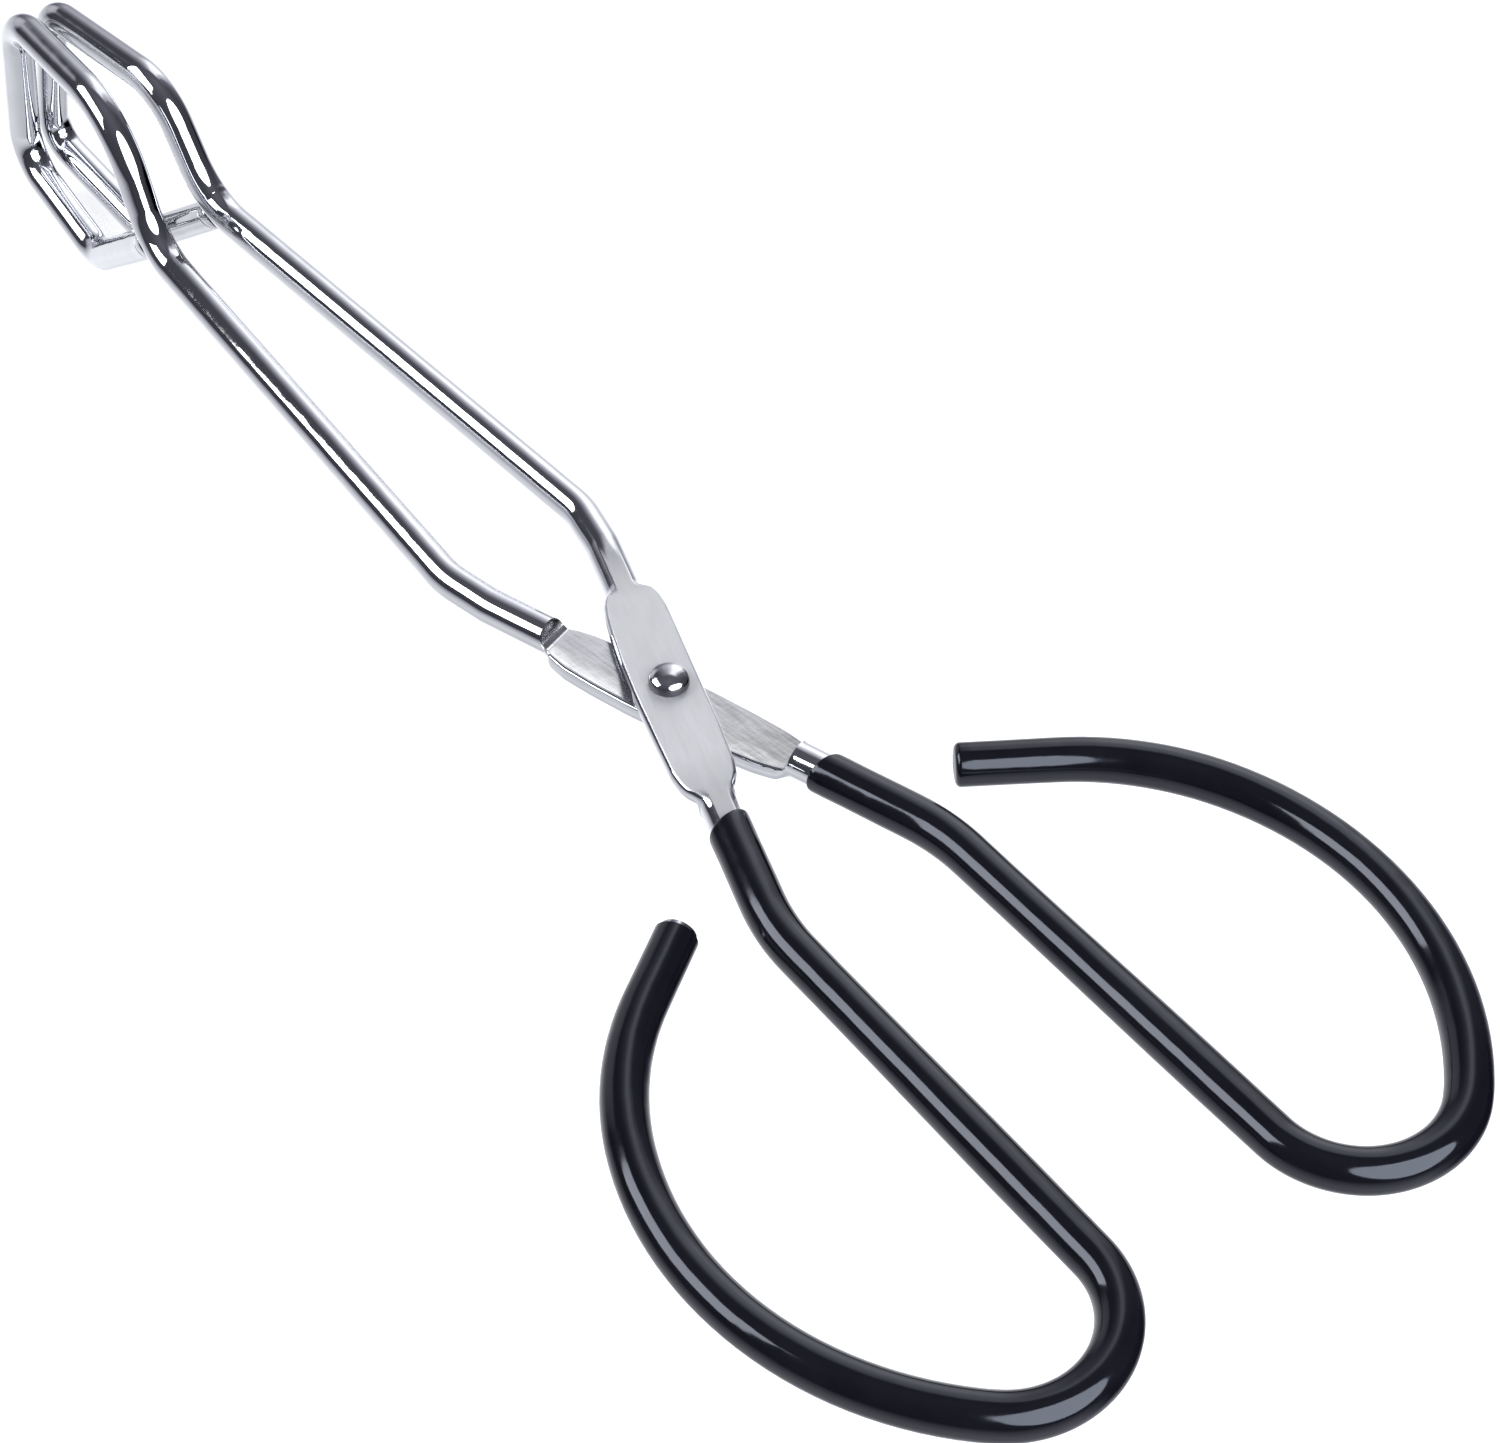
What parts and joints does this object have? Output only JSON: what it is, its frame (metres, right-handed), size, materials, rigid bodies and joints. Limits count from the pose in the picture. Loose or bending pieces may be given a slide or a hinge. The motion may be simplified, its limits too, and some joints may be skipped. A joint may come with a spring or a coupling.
{
  "type": "crucible tongs",
  "caption": "Scissor-action crucible tongs: riveted steel rod arms with upright looped jaws and open finger loops dipped in black vinyl.",
  "frame": {"origin": "on the pivot axis, at the flat back face of the rivet", "axes": "+X towards the jaws along the line midway between the arms, +Z along the rivet towards its domed head, +Y towards the lower arm's jaw"},
  "size_m": [0.2933, 0.11, 0.0412],
  "materials": {
    "polished_steel": "polished stainless steel rod, satin on the pressed blade faces",
    "weld_steel": "ground stainless weld metal",
    "black_vinyl": "glossy black dip-coated vinyl"
  },
  "bodies": {
    "lower_half": {"lower_arm": "polished_steel", "lower_grip": "black_vinyl", "lower_jaw_weld": "weld_steel", "pivot_rivet": "polished_steel"},
    "upper_half": {"upper_arm": "polished_steel", "upper_grip": "black_vinyl", "upper_jaw_weld": "weld_steel"}
  },
  "joints": [
    {"name": "pivot", "type": "hinge", "parent": "lower_half", "child": "upper_half", "pos_m": [0, 0, 0.0037], "axis": [0, 0, -1], "range_deg": [0, 90]}
  ]
}
